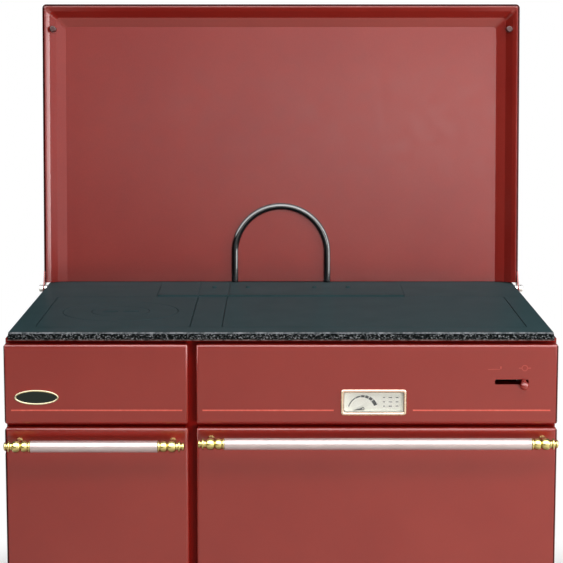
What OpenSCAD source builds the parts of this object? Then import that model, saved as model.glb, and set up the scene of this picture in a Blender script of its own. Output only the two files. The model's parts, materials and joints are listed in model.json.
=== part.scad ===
// Solid-fuel range cooker in cast iron and enamelled steel, with a raised lid,
// a fire door on the left, a drop-down oven door on the right and a drawer under each.
// +Z is up, the doors face -Y, and the origin lies under the middle on the floor.

/* [Body] */
// Width across the fascias and doors
body_w = 1100; // [1000:10:1200]
// Depth from the door faces to the back panel
body_d = 700; // [660:10:760]
// Height of the hob's top face
hob_h = 850; // [820:5:900]
// Height of the plinth
plinth_h = 90; // [60:5:120]
// How far the plinth stands back from the door faces
plinth_set = 40; // [30:5:80]
// Thickness of the plinth's folded sheet
plinth_t = 4; // [3:0.5:6]
// Width of the foot that is folded inwards under the plinth
plinth_foot = 30; // [15:5:50]
// Thickness of the base plate
base_t = 6; // [4:1:10]
// Thickness of the side panels, the back panel and the wall between the columns
sheet_t = 3; // [2:0.5:4]
// How far the side panels stand in from the ends of the doors
side_set = 1; // [0.5:0.5:4]

/* [Front] */
// Width of the left column's fascia, door and drawer
fire_w = 366; // [340:2:400]
// Upright gap between the two columns
column_gap = 15; // [10:1:25]
// Height of the fascias
fascia_h = 162; // [140:1:175]
// Height of the drawer fronts
drawer_h = 146; // [120:1:170]
// Gap between one front panel and the next
reveal = 7; // [6:1:14]
// Gap between the hob and the fascias
hob_reveal = 7; // [4:1:12]
// Depth of a door skin
door_t = 22; // [20:1:26]
// Sheet thickness of the pressed front panels
skin_t = 2.5; // [2:0.5:3]
// Radius of the rolled edges of the front panels
edge_roll = 7; // [4:0.5:9]
// How far the front frame stands back from the door faces
frame_set = 28; // [26:1:34]
// Thickness of the front frame
frame_t = 6; // [4:1:10]
// Smallest gap between moving panels and what they close on
close_gap = 0.3; // [0.2:0.1:1]

/* [Hob] */
// Thickness of the hob casting
hob_t = 17; // [16:1:26]
// How far the hob's top face stands in from the ends of the doors
hob_inset = 11; // [9:1:20]
// How far the hob's edge slopes outwards on its way down
hob_bevel = 2; // [2:0.5:4]
// Thickness of the loose hotplates
plate_t = 12; // [10:1:14]
// Gap round a loose plate
plate_gap = 1.5; // [0.5:0.1:2]
// Width of the ledge that a loose plate rests on
ledge = 12; // [8:1:16]
// Corner radius of the hotplates
plate_r = 10; // [4:1:16]
// Distance from the hob's front to the hotplates
plate_front = 60; // [50:2:80]
// Length of the hotplates from front to back
plate_d = 380; // [350:5:390]
// Distance of the hotplates from the hob's sides
plate_side = 46; // [40:1:60]
// Width of the bar between the hotplates
bar_w = 66; // [50:2:80]
// Outer diameter of the loose ring
ring_d = 241; // [200:1:260]
// Diameter of the disc inside the ring
disc_d = 120; // [90:1:150]
// Thickness of the loose ring and disc
ring_t = 6; // [5:0.5:7]
// Width of the flue cover
flue_cover_w = 548; // [480:4:600]
// Depth of the flue cover
flue_cover_d = 180; // [150:5:185]
// Thickness of the flue cover
flue_cover_t = 8; // [6:1:10]
// How far the flue cover stands above the hob
flue_cover_up = 3; // [2:0.5:4]
// Distance of the cover's screws from each other
screw_pitch = 152; // [120:2:170]

/* [Lid] */
// Distance of the lid's hinge axis from the back
lid_axis_back = 82; // [76:1:90]
// How far the closed lid hangs over the front
lid_over = 37; // [10:1:40]
// Height of the closed lid's rim above the hob
lid_gap = 2; // [1.5:0.5:4]
// Depth of the lid's rim
lid_depth = 30; // [24:1:36]
// Sheet thickness of the lid
lid_t = 3; // [2:0.5:4]
// Gap between the hob and the open lid's lower edge
lid_foot_gap = 4; // [3:0.5:8]
// Angle at which the open lid leans back
lid_lean = 4; // [1:0.5:6]
// Radius of the lid's upper corners
lid_r = 9; // [8:1:20]
// Width of the steep band of the lid's inner rim
rim_steep = 21; // [16:1:28]
// Depth of the steep band
rim_steep_d = 22; // [14:1:22]
// Width of the shallow band between the steep one and the lid's panel
rim_slope = 21; // [14:1:28]
// Radius of the lid's rubber buffers
buffer_r = 7; // [5:0.5:9]
// Distance of the lid's rubber buffers below its upper edge
buffer_drop = 57; // [45:1:80]
// Radius of the lid's hinge pins
pin_r = 4; // [3:0.5:5]
// Running clearance round a hinge pin
pin_play = 0.1; // [0.05:0.05:0.1]
// Width of the flue notch between the middles of its trim
arch_w = 215; // [180:5:240]
// Height of the flue notch above the hob
arch_h = 180; // [150:5:220]
// Radius of the notch's round trim
trim_r = 8; // [6:0.5:10]
// Width of the stops that the open lid leans on
stop_w = 36; // [24:2:50]
// Thickness of those stops
stop_t = 16; // [10:1:20]
// Height of those stops above the hob
stop_h = 60; // [40:5:80]

/* [Doors and rails] */
// Distance from the firebox's openings to the edges of the left door
fire_side = 37; // [34:1:45]
// Distance from the oven's openings to the edges of the right door
oven_side = 69.5; // [60:0.5:90]
// Height of the door openings above the doors' lower edges
open_rise = 50; // [46:1:60]
// Distance of the door openings below the doors' upper edges
open_drop = 38; // [34:1:50]
// Inner corner radius of the door seals
seal_r = 12; // [8:1:16]
// Distance of a door's hinge axis from its edge and from its face
hinge_in = 10; // [9:0.5:11]
// Thickness of a hinge arm
hinge_t = 6; // [5:0.5:8]
// Half the width of a hinge arm
hinge_r = 6; // [5:0.5:6]
// Radius of the door hinge pins
hinge_pin_r = 3; // [2:0.5:3.5]
// Distance of the hinges from the ends of a door
hinge_end = 50; // [40:5:70]
// Outer diameter of the rails
rail_d = 23; // [18:0.5:24]
// Distance from a door's face to the middle of its rail
rail_stand = 48; // [40:1:55]
// Distance of the fire door's rail below the door's top
fire_rail_drop = 26; // [22:1:34]
// Distance of the oven door's rail below the door's top
oven_rail_drop = 21; // [20:0.5:34]
// Radius of the ball of each rail end
boss_r = 12; // [11:0.5:15]
// Radius of the post that carries a rail end
post_r = 4.5; // [4:0.5:6]

/* [Inside] */
// Depth of the oven
oven_d = 470; // [400:10:500]
// Distance of the oven rack from the front and the back of the oven
rack_end = 30; // [20:5:50]
// Thickness of the oven's plates
oven_t = 4; // [3:0.5:6]
// Depth of the firebox
fire_d = 360; // [320:10:400]
// Thickness of the firebricks
brick_t = 28; // [22:1:30]
// Distance of the firebricks below the top of the door openings
brick_drop = 20; // [10:5:60]
// Thickness of the cast frame that carries the grate
grate_frame_t = 12; // [10:1:16]
// Distance from the grate to the bricks at its sides
grate_side = 26; // [18:1:40]
// Distance from the grate to the front and the back of the firebox
grate_end = 35; // [30:1:50]
// Thickness of the grate
grate_t = 8; // [6:1:9]
// Outer diameter of the flue collar
collar_d = 150; // [120:1:160]
// Wall of the flue collar
collar_t = 4; // [3:0.5:6]
// How far the flue collar stands out at the back
collar_reach = 60; // [54:1:80]
// Distance of the flue collar's middle below the hob's top
collar_drop = 140; // [130:5:160]
// Room between the flue collar and the sides of the smoke box
flue_side = 22; // [18:1:40]
// Depth of the smoke box
flue_box_d = 110; // [80:5:120]

/* [Drawers] */
// Distance from the drawers' openings to the edges of their fronts
drawer_open_in = 12; // [12:1:20]
// Length of the ash pan
ash_pan_d = 420; // [350:10:450]
// Length of the drawer box
drawer_box_d = 430; // [350:10:450]
// Room above the ash pan and the drawer box
pan_room = 18; // [16:1:40]
// Sheet thickness of the ash pan and the drawer box
pan_t = 2; // [1.5:0.5:3]
// Gap between a drawer and the sides of its opening
pan_gap = 3; // [2:0.5:5]
// Radius of the air spinner on the ash drawer
spinner_r = 38; // [30:1:45]
// Thickness of the air spinner
spinner_t = 4; // [3:0.5:6]
// Radius of the drawer knobs
knob_r = 13; // [10:0.5:15]
// Distance from a knob's collar to its middle
knob_reach = 20; // [16:1:24]
// Radius of the knobs' stems
knob_stem_r = 5; // [4:0.5:6]

/* [Badge, thermometer and damper] */
// Length of the oval badge
badge_w = 88; // [60:2:100]
// Height of the oval badge
badge_h = 30; // [20:1:40]
// Distance of the badge's middle from the end of the fascia
badge_side = 65; // [50:1:80]
// Height of the badge's middle above the bottom of the fascia
badge_rise = 55; // [40:1:70]
// Height of the thermometer's middle above the bottom of the fascia
gauge_rise = 45; // [36:1:60]
// Width of the thermometer's bezel
bezel_w = 130; // [110:2:150]
// Height of the thermometer's bezel
bezel_h = 52; // [44:1:60]
// Width of the bezel's rim
bezel_rim = 5.5; // [4:0.5:7]
// Travel of the damper knob
damper_travel = 50; // [30:1:54]
// Height of the damper's slot
damper_slot_h = 10; // [9:0.5:12]
// Radius of the damper's rod
damper_rod_r = 4; // [3:0.5:4]
// Distance of the damper knob from the end of the fascia
damper_side = 69; // [60:1:80]
// Distance of the damper knob below the top of the fascia
damper_drop = 76; // [60:1:90]
// Width and length of the cast frame under the damper plate
vent_w = 150; // [110:5:180]
// Thickness of that frame's walls
vent_t = 6; // [4:1:10]
// Distance of that frame behind the front frame
vent_back = 120; // [80:5:150]

/* [Hidden] */
$fn = 48;

red = [0.47, 0.17, 0.15];
iron = [0.16, 0.19, 0.19];
steel = [0.72, 0.71, 0.69];
brass = [0.79, 0.66, 0.33];
brick = [0.80, 0.72, 0.58];
cut = 1;

// Depths, from the door faces to the back
front_y = rail_stand + boss_r - (rail_stand + boss_r + body_d + collar_reach) / 2;
back_y = front_y + body_d;
frame_y = front_y + frame_set;
inner_y = frame_y + frame_t;
panel_y = back_y - sheet_t;

// Heights, from the plinth to the hob
hob_z = hob_h - hob_t;
fascia_top = hob_z - hob_reveal;
fascia_z = fascia_top - fascia_h;
door_top = fascia_z - reveal;
drawer_z = plinth_h + reveal;
door_z = drawer_z + drawer_h + reveal;
door_h = door_top - door_z;
floor_z = plinth_h + base_t;
collar_z = hob_h - collar_drop;
drawer_open_z = drawer_z + drawer_open_in;
drawer_open_h = drawer_h - 2 * drawer_open_in;
pan_z = drawer_open_z + 2 * pan_gap;
pan_h = drawer_open_h - 2 * pan_gap - pan_room;
open_z = door_z + open_rise;
open_h = door_h - open_rise - open_drop;

// Sides of the two columns
wall_x = body_w / 2 - side_set - sheet_t;
fire_x = -body_w / 2 + fire_w / 2;
oven_panel_w = body_w - fire_w - column_gap;
fire_open_w = fire_w - 2 * fire_side;
oven_w = oven_panel_w - 2 * oven_side;
oven_x = body_w / 2 - oven_panel_w / 2;
divider_x = -body_w / 2 + fire_w + sheet_t;

// Places on the hob
hob_x = body_w / 2 - hob_inset;
plate_y = front_y + plate_front;
left_x = -hob_x + plate_side;
bar_x = -body_w / 2 + fire_w;
left_plate_w = bar_x - left_x;
right_x = bar_x + bar_w;
right_plate_w = hob_x - plate_side - right_x;
ring_at = [left_x + left_plate_w / 2, plate_y + plate_d / 2];
cover_y = plate_y + plate_d + 8;
screw_head_r = 5;
flue_hole_r = 70;

// Lid, in its own frame with the hinge axis as origin
axis_y = back_y - lid_axis_back;
axis_z = hob_h - hob_t / 2;
ear_r = hob_t / 2 - close_gap;
rim_v = hob_t / 2 + lid_gap;
panel_v = rim_v + lid_depth;
lid_low = hob_t / 2 + lid_foot_gap;
lid_len = axis_y - front_y + lid_over;
arch_r = arch_w / 2;
arch_leg = hob_t / 2 + arch_h - arch_r;
pin_in = 12;
pin_head_r = 8;
pin_head_t = 9;

// Doors
fire_axis_x = -body_w / 2 + hinge_in;
oven_axis_z = door_z + hinge_in;
axis_depth = front_y + hinge_in;
hinge_lug = 12;
hinge_play = 1;
hinge_foot_t = 2;
liner_t = 4;
seal_w = 12;
seal_in = 4;
rail_in = 4.5;
boss_at = 28;
rail_end_len = boss_at + 1.125 * rail_d;

// Oven and firebox
oven_left = oven_x - oven_w / 2;
oven_right = oven_x + oven_w / 2;
bearer_gap = 12;
bearer_t = 8;
fire_left = fire_x - fire_open_w / 2;
fire_right = fire_x + fire_open_w / 2;
shelf_z = open_z + open_h * 0.44;
runner_w = 12;
runner_t = 6;
rack_gap = 3;
rack_rod_r = 3;
carrier_t = 10;
rail_over = 14;
grate_z = open_z;
brick_h = open_h - brick_drop;
grate_w = fire_open_w - 2 * grate_side;
grate_d = fire_d - 2 * grate_end;

// Thermometer and damper
gauge_x = oven_x - 6.5;
gauge_z = fascia_z + gauge_rise;
gauge_w = bezel_w - 2 * bezel_rim;
gauge_h = bezel_h - 2 * bezel_rim;
gauge_r = 3;
needle_len = 18;
needle_pin_r = 1.5;
needle_x = gauge_x - 21;
needle_z = gauge_z - gauge_h / 2 + 6.5;
damper_x = body_w / 2 - damper_side;
damper_z = fascia_top - damper_drop;
damper_slide_t = 3;
damper_top = damper_z - damper_rod_r - damper_slide_t;
vent_x = oven_right + oven_t - vent_w;
vent_y = inner_y + vent_back;

// Rectangle with round corners about the origin
module rounded(w, h, r) {
    square([w - 2 * r, h], center = true);
    square([w, h - 2 * r], center = true);
    for (x = [-1, 1], y = [-1, 1])
        translate([x * (w / 2 - r), y * (h / 2 - r)]) circle(r);
}

// Stands a flat outline up to face -Y, with its back at depth y + t
module facing(x, y, z, t) {
    translate([x, y + t, z]) rotate([90, 0, 0]) linear_extrude(t) children();
}

// Block from one corner to the opposite one
module block(a, b) {
    translate(a) cube(b - a);
}

// Strip whose two front edges are rolled with radius r; the front lies at y = 0
module rolled_outline(w, d, r) {
    translate([-w / 2, r]) square([w, d - r]);
    translate([-w / 2 + r, 0]) square([w - 2 * r, d]);
    for (x = [-1, 1])
        translate([x * (w / 2 - r), r]) circle(r);
}

// Solid panel with rolled front edges and round corners, front at y = 0, standing on z = 0
module rolled_solid(w, h, d, r) {
    intersection() {
        linear_extrude(h) rolled_outline(w, d, r);
        translate([-w / 2, 0, h / 2]) rotate([90, 0, 90]) linear_extrude(w)
            rotate(90) mirror([0, 1]) rolled_outline(h, d, r);
        facing(0, 0, h / 2, d) rounded(w, h, r + 1);
    }
}

// Pressed front panel, open at the back
module pressed_panel(x, z, w, h, d) {
    translate([x, front_y, z]) difference() {
        rolled_solid(w, h, d, edge_roll);
        translate([0, skin_t, skin_t])
            rolled_solid(w - 2 * skin_t, h - 2 * skin_t, d, edge_roll - skin_t);
    }
}

// Ellipse with half axes a and b
module ellipse(a, b) {
    polygon([for (i = [0:47]) [a * cos(i * 7.5), b * sin(i * 7.5)]]);
}

// Tray that is open at the top
module tray(x, y, z, w, d, h) {
    difference() {
        block([x - w / 2, y, z], [x + w / 2, y + d, z + h]);
        block([x - w / 2 + pan_t, y + pan_t, z + pan_t],
            [x + w / 2 - pan_t, y + d - pan_t, z + h + cut]);
    }
}

// Base and walls

module plinth() {
    x = body_w / 2 - plinth_set;
    y = front_y + plinth_set;
    color(red) difference() {
        block([-x, y, 0], [x, back_y - plinth_set, plinth_h]);
        for (wall = [[plinth_t, plinth_t], [plinth_foot, -cut]])
            block([-x + wall[0], y + wall[0], wall[1]],
                [x - wall[0], back_y - plinth_set - wall[0], plinth_h + cut]);
    }
}

module base_plate() {
    color(iron) block([-wall_x, frame_y, plinth_h], [wall_x, panel_y, floor_z]);
}

module side_panels() {
    color(red) for (x = [-wall_x - sheet_t, wall_x])
        block([x, frame_y, plinth_h], [x + sheet_t, back_y, hob_z]);
}

module back_panel() {
    hole = collar_d + 10;
    color(iron) difference() {
        block([-wall_x, panel_y, plinth_h], [wall_x, back_y, hob_z]);
        facing(0, panel_y - cut, collar_z, sheet_t + 2 * cut) square(hole, center = true);
    }
}

// Front frame in strips that butt together above, below and between the openings
module front_frame() {
    seam = 0.1;
    color(red) difference() {
        block([-wall_x, frame_y, floor_z], [wall_x, inner_y, hob_z]);
        for (column = [[fire_x, fire_open_w], [oven_x, oven_w]]) {
            facing(column[0], frame_y - cut, open_z + open_h / 2, frame_t + 2 * cut)
                square([column[1], open_h], center = true);
            facing(column[0], frame_y - cut, drawer_open_z + drawer_open_h / 2, frame_t + 2 * cut)
                square([column[1], drawer_open_h], center = true);
        }
        for (z = [drawer_open_z, drawer_open_z + drawer_open_h, open_z, open_z + open_h])
            block([-body_w, frame_y - cut, z - seam / 2], [body_w, inner_y + cut, z + seam / 2]);
        damper_slot(frame_y - cut, frame_t + 2 * cut);
        facing(gauge_x, frame_y - cut, gauge_z, frame_t + 2 * cut)
            rounded(gauge_w, gauge_h, gauge_r);
    }
}

module centre_wall() {
    color(iron) block([divider_x - sheet_t, inner_y, floor_z], [divider_x, panel_y, hob_z]);
}

// Hob

// Opening for a loose plate: a seat for its edge and a smaller way through
module plate_seat(x, y, w, d, t, r) {
    translate([x + w / 2, y + d / 2, hob_h - t])
        linear_extrude(t + cut) rounded(w + 2 * plate_gap, d + 2 * plate_gap, r + plate_gap);
    translate([x + w / 2, y + d / 2, hob_z - cut])
        linear_extrude(hob_t + cut) rounded(w - 2 * ledge, d - 2 * ledge, r);
}

module loose_plate(x, y, w, d, t, r) {
    translate([x + w / 2, y + d / 2, hob_h - t]) linear_extrude(t) rounded(w, d, r);
}

module hob_frame() {
    low_x = hob_x + hob_bevel;
    color(iron) difference() {
        intersection() {
            translate([0, back_y, 0]) rotate([90, 0, 0]) linear_extrude(body_d + hob_bevel)
                polygon([[-low_x, hob_z], [low_x, hob_z], [hob_x, hob_h], [-hob_x, hob_h]]);
            translate([-low_x, 0, 0]) rotate([90, 0, 90]) linear_extrude(2 * low_x)
                polygon([[front_y - hob_bevel, hob_z], [back_y, hob_z],
                    [back_y, hob_h], [front_y, hob_h]]);
        }
        plate_seat(left_x, plate_y, left_plate_w, plate_d, plate_t, plate_r);
        plate_seat(right_x, plate_y, right_plate_w, plate_d, plate_t, plate_r);
        block([bar_x, plate_y - plate_gap, hob_h - plate_t],
            [right_x, plate_y + plate_d + plate_gap, hob_h + cut]);
        block([-flue_cover_w / 2 - plate_gap, cover_y - plate_gap, hob_h - cover_sink()],
            [flue_cover_w / 2 + plate_gap, cover_y + flue_cover_d + plate_gap, hob_h + cut]);
        translate([0, cover_y + flue_cover_d / 2, hob_z - cut]) cylinder(hob_t, r = flue_hole_r);
        for (side = [-1, 1])
            translate([side * (hob_x - pin_in), axis_y, axis_z]) rotate([0, side * 90, 0])
                cylinder(pin_in + hob_bevel + cut, r = pin_r);
    }
}

function cover_sink() = flue_cover_t - flue_cover_up;

module left_hotplate() {
    color(iron) difference() {
        loose_plate(left_x, plate_y, left_plate_w, plate_d, plate_t, plate_r);
        translate([ring_at[0], ring_at[1], hob_h - ring_t])
            cylinder(ring_t + cut, r = ring_d / 2 + plate_gap);
        translate([ring_at[0], ring_at[1], hob_h - plate_t - cut])
            cylinder(plate_t, r = ring_d / 2 - ledge);
    }
}

module hob_ring() {
    seat_t = ring_t / 2;
    color(iron) translate([ring_at[0], ring_at[1], hob_h - ring_t]) difference() {
        cylinder(ring_t, r = ring_d / 2);
        translate([0, 0, seat_t]) cylinder(ring_t, r = disc_d / 2 + plate_gap);
        translate([0, 0, -cut]) cylinder(ring_t, r = disc_d / 2 - ledge / 2);
    }
}

module hob_disc() {
    seat_t = ring_t / 2;
    color(iron) translate([ring_at[0], ring_at[1], hob_h - seat_t]) difference() {
        cylinder(seat_t, r = disc_d / 2);
        for (x = [-22, 22])
            translate([x, 0, seat_t / 2]) linear_extrude(seat_t) rounded(34, 8, 3.5);
    }
}

module centre_bar() {
    color(iron) block([bar_x + plate_gap, plate_y, hob_h - plate_t],
        [right_x - plate_gap, plate_y + plate_d, hob_h]);
}

module right_hotplate() {
    color(iron) loose_plate(right_x, plate_y, right_plate_w, plate_d, plate_t, plate_r);
}

module flue_cover() {
    w = flue_cover_w / 2;
    top = hob_h + flue_cover_up;
    groove = 1.5;
    color(iron) {
        difference() {
            block([-w, cover_y, hob_h - cover_sink()], [w, cover_y + flue_cover_d, top]);
            for (x = [bar_x, right_x])
                block([x - groove, cover_y - cut, top - groove],
                    [x + groove, cover_y + flue_cover_d + cut, top + cut]);
        }
        for (x = [-screw_pitch, -screw_pitch / 2, screw_pitch / 2, screw_pitch])
            translate([x, cover_y + flue_cover_d * 0.6, top]) cylinder(2.5, r = screw_head_r);
    }
}

// Flue

module flue_box() {
    w = collar_d / 2 + flue_side;
    low = collar_z - w;
    y = panel_y - flue_box_d;
    color(iron) difference() {
        block([-w, y, low], [w, panel_y, hob_z]);
        block([-w + sheet_t, y - cut, low + sheet_t], [w - sheet_t, panel_y + cut, hob_z + cut]);
    }
}

module flue_collar() {
    flange = collar_d + 36;
    color(iron) translate([0, back_y, collar_z]) rotate([-90, 0, 0]) difference() {
        union() {
            cylinder(collar_reach, r = collar_d / 2);
            linear_extrude(8) rounded(flange, flange, 16);
            for (x = [-1, 1], y = [-1, 1])
                translate([x * (flange / 2 - 14), y * (flange / 2 - 14), 8]) cylinder(4, r = 7);
        }
        translate([0, 0, -cut]) cylinder(collar_reach + 2 * cut, r = collar_d / 2 - collar_t);
    }
}

// Fascias and what they carry

module damper_slot(y, t) {
    w = damper_travel + 2 * damper_rod_r + 9;
    facing(damper_x - damper_travel / 2 + 1.5, y, damper_z, t) rounded(w, damper_slot_h, 3);
}

module fascia_left() {
    color(red) pressed_panel(fire_x, fascia_z, fire_w, fascia_h, frame_set);
}

module fascia_right() {
    color(red) difference() {
        pressed_panel(oven_x, fascia_z, oven_panel_w, fascia_h, frame_set);
        damper_slot(front_y - cut, skin_t + 2 * cut);
        facing(gauge_x, front_y - cut, gauge_z, skin_t + 2 * cut) rounded(gauge_w, gauge_h, gauge_r);
    }
}

module badge() {
    x = -body_w / 2 + badge_side;
    z = fascia_z + badge_rise;
    color(steel) difference() {
        facing(x, front_y - 3, z, 3) ellipse(badge_w / 2, badge_h / 2);
        facing(x, front_y - 4, z, 2) ellipse(badge_w / 2 - 3, badge_h / 2 - 3);
    }
}

module thermometer_bezel() {
    color(brass) facing(gauge_x, front_y - 3, gauge_z, 3) difference() {
        rounded(bezel_w, bezel_h, gauge_r + bezel_rim / 2);
        rounded(gauge_w, gauge_h, gauge_r);
    }
}

module thermometer_dial() {
    w = gauge_w - 1;
    h = gauge_h - 1;
    color([0.93, 0.90, 0.80]) difference() {
        facing(gauge_x, front_y, gauge_z, frame_set) rounded(w, h, gauge_r);
        facing(gauge_x, front_y - cut, gauge_z, 8 + cut) rounded(w - 3, h - 3, gauge_r);
    }
    color(steel) translate([needle_x, front_y + 8, needle_z]) rotate([90, 0, 0])
        cylinder(5, r = needle_pin_r);
}

module thermometer_glass() {
    color([0.85, 0.92, 0.95, 0.35]) facing(gauge_x, front_y - 2, gauge_z, 2)
        rounded(gauge_w - 0.6, gauge_h - 0.6, gauge_r);
}

module thermometer_needle() {
    color([0.08, 0.08, 0.08]) translate([needle_x, front_y + 5, needle_z]) rotate([90, 0, 0]) difference() {
        union() {
            cylinder(1, r = 2 * needle_pin_r);
            rotate(100) linear_extrude(1) polygon([[-1.6, 0], [1.6, 0], [0.4, needle_len], [-0.4, needle_len]]);
        }
        translate([0, 0, -cut]) cylinder(1 + 2 * cut, r = needle_pin_r + pin_play);
    }
}

module damper_frame() {
    low = open_z + open_h + oven_t;
    color(iron) difference() {
        block([vent_x, vent_y, low], [vent_x + vent_w, vent_y + vent_w, damper_top - close_gap]);
        block([vent_x + vent_t, vent_y + vent_t, low - cut],
            [vent_x + vent_w - vent_t, vent_y + vent_w - vent_t, damper_top + cut]);
    }
}

module damper_plate() {
    over = 2;
    arm = 8;
    top = damper_top + damper_slide_t;
    rod_end = inner_y + 24;
    color(steel) {
        block([vent_x - over, vent_y - over, damper_top],
            [vent_x + vent_w + over, vent_y + vent_w + over, top]);
        block([damper_x - arm, inner_y + 10, damper_top], [damper_x + arm, vent_y, top]);
        translate([damper_x, rod_end, damper_z]) rotate([90, 0, 0])
            cylinder(rod_end - front_y + 6, r = damper_rod_r);
        block([damper_x - 6, rod_end - 12, top - 1], [damper_x + 6, rod_end + 12, damper_z + 3]);
    }
}

// Ball that hangs a little below its rod
module damper_knob() {
    ball_r = 9;
    drop = 5;
    color(red) translate([damper_x, front_y - 1.5, damper_z]) rotate([90, 0, 0]) difference() {
        union() {
            cylinder(ball_r, r = 6);
            translate([0, -drop, ball_r + 2]) sphere(ball_r);
        }
        translate([0, 0, -cut]) cylinder(4.5 + cut, r = damper_rod_r);
    }
}

// Oven

module oven_floor() {
    side = bearer_gap + bearer_t;
    color(iron) block([oven_left - side, inner_y, open_z - oven_t],
        [oven_right + side, inner_y + oven_d + oven_t, open_z]);
}

module oven_sides() {
    color(iron) for (x = [oven_left - oven_t, oven_right])
        block([x, inner_y, open_z], [x + oven_t, inner_y + oven_d, open_z + open_h]);
}

module oven_top() {
    color(iron) block([oven_left - oven_t, inner_y, open_z + open_h],
        [oven_right + oven_t, inner_y + oven_d + oven_t, open_z + open_h + oven_t]);
}

module oven_back() {
    color(iron) block([oven_left - oven_t, inner_y + oven_d, open_z],
        [oven_right + oven_t, inner_y + oven_d + oven_t, open_z + open_h]);
}

module carrier_rails() {
    low = pan_z - close_gap - carrier_t;
    back = inner_y + fire_d + brick_t;
    color(iron) {
        for (side = [0, 1]) translate([oven_x, 0, 0]) mirror([side, 0, 0]) {
            x = oven_w / 2 + bearer_gap;
            block([x, inner_y, floor_z], [x + bearer_t, inner_y + oven_d, open_z - oven_t]);
            block([oven_w / 2 - rail_over, inner_y, low], [x, inner_y + drawer_box_d, low + carrier_t]);
        }
        for (z = [low, grate_z - grate_frame_t - carrier_t]) {
            block([-wall_x, inner_y, z], [fire_left + rail_over, back, z + carrier_t]);
            block([fire_right - rail_over, inner_y, z], [divider_x - sheet_t, back, z + carrier_t]);
        }
    }
}

module shelf_runners() {
    color(steel) for (z = [shelf_z - runner_t, shelf_z + 4 * rack_rod_r]) {
        block([oven_left, inner_y + 20, z], [oven_left + runner_w, inner_y + oven_d - 20, z + runner_t]);
        block([oven_right - runner_w, inner_y + 20, z],
            [oven_right, inner_y + oven_d - 20, z + runner_t]);
    }
}

module oven_rack() {
    w = oven_w - 2 * rack_gap;
    d = oven_d - 2 * rack_end;
    n = 13;
    z = shelf_z + rack_rod_r;
    color(steel) {
        for (x = [-1, 1])
            translate([oven_x + x * (w / 2 - rack_rod_r), inner_y + rack_end, z]) rotate([-90, 0, 0])
                cylinder(d, r = rack_rod_r);
        for (i = [0:n - 1])
            translate([oven_x - w / 2 + rack_rod_r, inner_y + rack_end + 4 + i * (d - 8) / (n - 1), z])
                rotate([0, 90, 0]) cylinder(w - 2 * rack_rod_r, r = rack_rod_r - 0.5);
    }
}

// Firebox

module firebricks() {
    back = inner_y + fire_d;
    color(brick) {
        block([fire_left - brick_t, inner_y, grate_z], [fire_left, back, grate_z + brick_h]);
        block([fire_right, inner_y, grate_z], [fire_right + brick_t, back, grate_z + brick_h]);
        block([fire_left, back, grate_z], [fire_right, back + brick_t, grate_z + brick_h]);
    }
}

module grate_frame() {
    y = inner_y + fire_d / 2;
    color(iron) difference() {
        block([-wall_x, inner_y, grate_z - grate_frame_t],
            [divider_x - sheet_t, inner_y + fire_d + brick_t, grate_z]);
        translate([fire_x, y, grate_z - grate_t]) linear_extrude(grate_t + cut)
            square([grate_w + 2 * plate_gap, grate_d + 2 * plate_gap], center = true);
        translate([fire_x, y, grate_z - grate_frame_t - cut]) linear_extrude(grate_frame_t + cut)
            square([grate_w - ledge, grate_d - ledge], center = true);
    }
}

module fire_grate() {
    n = 8;
    bar = 11;
    pitch = (grate_w - 2 * ledge) / n;
    color(iron) translate([fire_x, inner_y + fire_d / 2, grate_z - grate_t]) linear_extrude(grate_t)
        difference() {
            square([grate_w, grate_d], center = true);
            for (i = [0:n - 1])
                translate([(i - (n - 1) / 2) * pitch, 0]) rounded(pitch - bar, grate_d - 28, 5);
        }
}

// Lid

// Places a piece of the lid from its own frame: hinge axis at the origin, z up along the open lid
module on_lid() {
    translate([0, axis_y, axis_z]) rotate([-lid_lean, 0, 0]) children();
}

// Outline of the lid seen from the front, inset by t, with its two upper corners round
module lid_outline(t) {
    w = body_w - 2 * t;
    r = lid_r - t;
    translate([-w / 2, lid_low]) square([w, lid_len - t - r - lid_low]);
    translate([-w / 2 + r, lid_low]) square([w - 2 * r, lid_len - t - lid_low]);
    for (x = [-1, 1])
        translate([x * (w / 2 - r), lid_len - t - r]) circle(r);
}

// Outline of the flue notch, grown by g
module arch_outline(g) {
    translate([0, arch_leg]) circle(arch_r + g);
    translate([-arch_r - g, lid_low - cut]) square([2 * (arch_r + g), arch_leg - lid_low + cut]);
}

module lid_panel() {
    color(red) on_lid() {
        difference() {
            facing(0, rim_v, 0, lid_depth + lid_t) lid_outline(0);
            facing(0, rim_v - cut, 0, lid_depth + cut) difference() {
                lid_outline(lid_t);
                translate([-body_w, lid_low - cut]) square([2 * body_w, 0.1]);
            }
            translate([-body_w / 2 + lid_t, rim_v - cut, lid_low - cut])
                cube([body_w - 2 * lid_t, lid_depth + cut, 2 * cut]);
            facing(0, panel_v - cut, 0, lid_t + 2 * cut) arch_outline(0.4);
        }
        for (side = [-1, 1])
            translate([side * body_w / 2 - (side > 0 ? lid_t : 0), 0, 0]) rotate([90, 0, 90])
                linear_extrude(lid_t) difference() {
                    union() {
                        circle(ear_r);
                        polygon([[-ear_r, 0], [rim_v, lid_low + 26], [panel_v, lid_low + 26],
                            [panel_v, lid_low], [ear_r, 0]]);
                    }
                    circle(pin_r + pin_play);
                }
    }
}

// Sheet section of the rim: a narrow lip, a steep band and a shallow band down to the lid's panel
module rim_section() {
    t = 2;
    lip = 1.5 * t;
    reach = rim_steep + rim_slope;
    polygon([[0, 0], [lip, 0], [rim_steep, rim_steep_d], [reach, lid_depth], [reach - 3 * t, lid_depth],
        [rim_steep - t, rim_steep_d + t / 2], [lip, 2 * t], [t, lid_depth], [0, lid_depth]]);
}

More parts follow.
